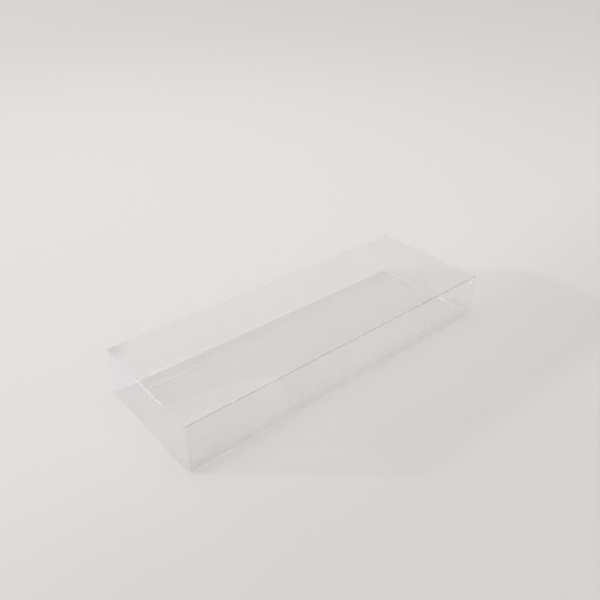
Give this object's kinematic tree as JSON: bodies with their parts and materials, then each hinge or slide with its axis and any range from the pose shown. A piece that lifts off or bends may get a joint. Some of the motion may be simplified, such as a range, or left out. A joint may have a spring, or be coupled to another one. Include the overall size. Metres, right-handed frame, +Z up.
{
  "type": "clear plastic box",
  "caption": "Long flat folding box of clear plastic film, glued along one bottom edge, with a hinged tuck-in flap closing each end.",
  "frame": {"origin": "under the middle of the base, on the surface that the box lies on", "axes": "+X along the box towards its right end, +Y from the front wall to the back wall, +Z up"},
  "size_m": [0.22, 0.08, 0.03],
  "materials": {
    "clear_film": "clear, glossy, uncoloured film"
  },
  "bodies": {
    "carton": {"box_body": "clear_film"},
    "left_closure": {"left_end_flap": "clear_film"},
    "right_closure": {"right_end_flap": "clear_film"}
  },
  "joints": [
    {"name": "left_flap_hinge", "type": "hinge", "parent": "carton", "child": "left_closure", "pos_m": [-0.11, 0, 0.03], "axis": [0, 1, 0], "range_deg": [0, 180]},
    {"name": "right_flap_hinge", "type": "hinge", "parent": "carton", "child": "right_closure", "pos_m": [0.11, 0, 0.03], "axis": [0, -1, 0], "range_deg": [0, 180]}
  ]
}
